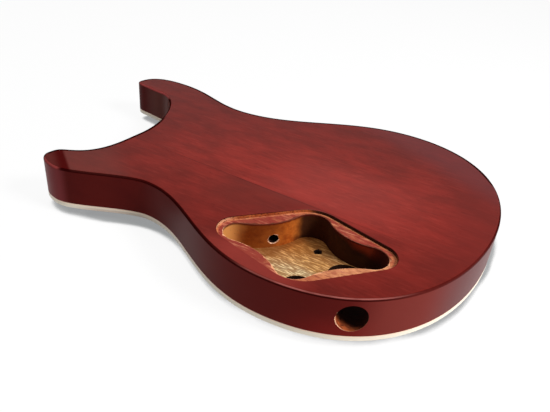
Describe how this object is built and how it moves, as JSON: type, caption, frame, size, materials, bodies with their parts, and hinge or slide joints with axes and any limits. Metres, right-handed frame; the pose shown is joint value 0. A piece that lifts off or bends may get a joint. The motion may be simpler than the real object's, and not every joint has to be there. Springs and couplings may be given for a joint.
{
  "type": "electric guitar body",
  "caption": "Bare electric guitar body with two cutaways, stained back, arched front, edge binding, neck pocket, pickup routs, control pocket and jack bore.",
  "frame": {"origin": "middle of the length and width, on the crown of the arched front, which the body lies on", "axes": "+X along the centre line from the neck end to the butt, +Y to the bass side, +Z out of the flat back"},
  "size_m": [0.479, 0.337, 0.048],
  "materials": {
    "stained_wood": "red-brown stain under a satin clear coat",
    "front_wood": "figured maple, stained and clear coated",
    "cream_binding": "cream, scraped and polished"
  },
  "bodies": {
    "root": {"back_plank_bass": "stained_wood", "back_plank_treble": "stained_wood", "cap_half_bass": "front_wood", "cap_half_treble": "front_wood", "binding_bass": "cream_binding", "binding_treble": "cream_binding"}
  },
  "joints": []
}
